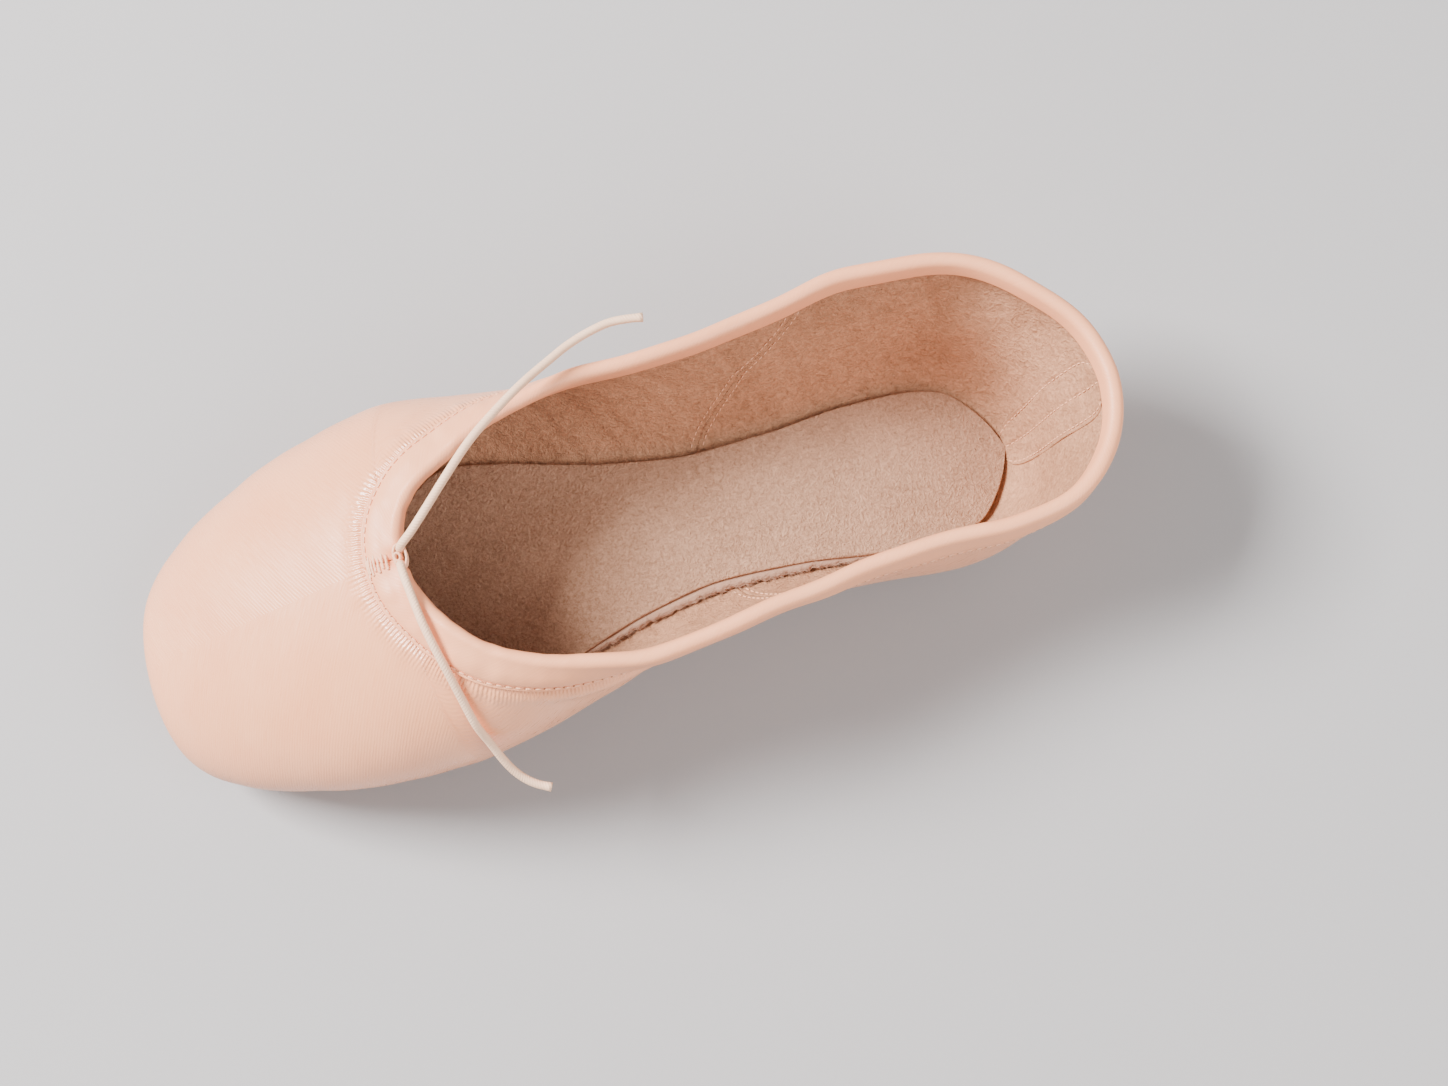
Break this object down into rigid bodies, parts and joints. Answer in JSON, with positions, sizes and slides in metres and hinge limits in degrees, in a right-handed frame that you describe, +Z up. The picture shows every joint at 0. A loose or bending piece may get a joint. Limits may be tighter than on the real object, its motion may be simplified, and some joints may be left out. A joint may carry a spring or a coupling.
{
  "type": "ballet pointe slipper",
  "caption": "Satin ballet pointe slipper with a stiff flat-tipped toe box, soft quarters, a corded casing round the mouth, sprung shank and leather outsole.",
  "frame": {"origin": "on the floor under the middle of the slipper's box, the slipper standing on its toe and heel", "axes": "+X from the toe to the heel, +Y to the wearer's right, +Z up"},
  "size_m": [0.2617, 0.1075, 0.0832],
  "materials": {
    "satin": "satin",
    "canvas": "matte",
    "paste": "matte",
    "felt": "matte",
    "lining": "suede",
    "casing": "matte",
    "cord": "matte",
    "thread": "matte",
    "sock": "suede",
    "board": "matte",
    "outsole": "suede"
  },
  "bodies": {
    "toe_box": {"satin_vamp": "satin", "box_canvas": "canvas", "box_cup": "paste", "platform_block": "paste", "toe_pad": "felt", "vamp_lining": "lining", "throat_bartack": "thread", "drawstring_end_left": "cord", "drawstring_end_right": "cord"},
    "heel_part": {"satin_quarter_left": "satin", "satin_quarter_right": "satin", "quarter_lining_left": "lining", "quarter_lining_right": "lining", "heel_stay": "lining", "drawstring_casing": "casing", "drawstring_loop": "cord", "sock_liner": "sock", "shank": "board", "half_shank": "board", "sole_filler": "felt", "outsole": "outsole"}
  },
  "joints": [
    {"name": "demi_pointe_flex", "type": "hinge", "parent": "toe_box", "child": "heel_part", "pos_m": [-0.0366, 0, 0.01814], "axis": [0, -1, 0], "range_deg": [0, 35], "stiffness_Nm_per_rad": 1.5, "deforming": ["satin_vamp", "vamp_lining", "drawstring_casing", "drawstring_loop", "drawstring_end_left", "drawstring_end_right", "throat_bartack", "outsole", "sole_filler", "shank", "half_shank", "sock_liner"]}
  ]
}
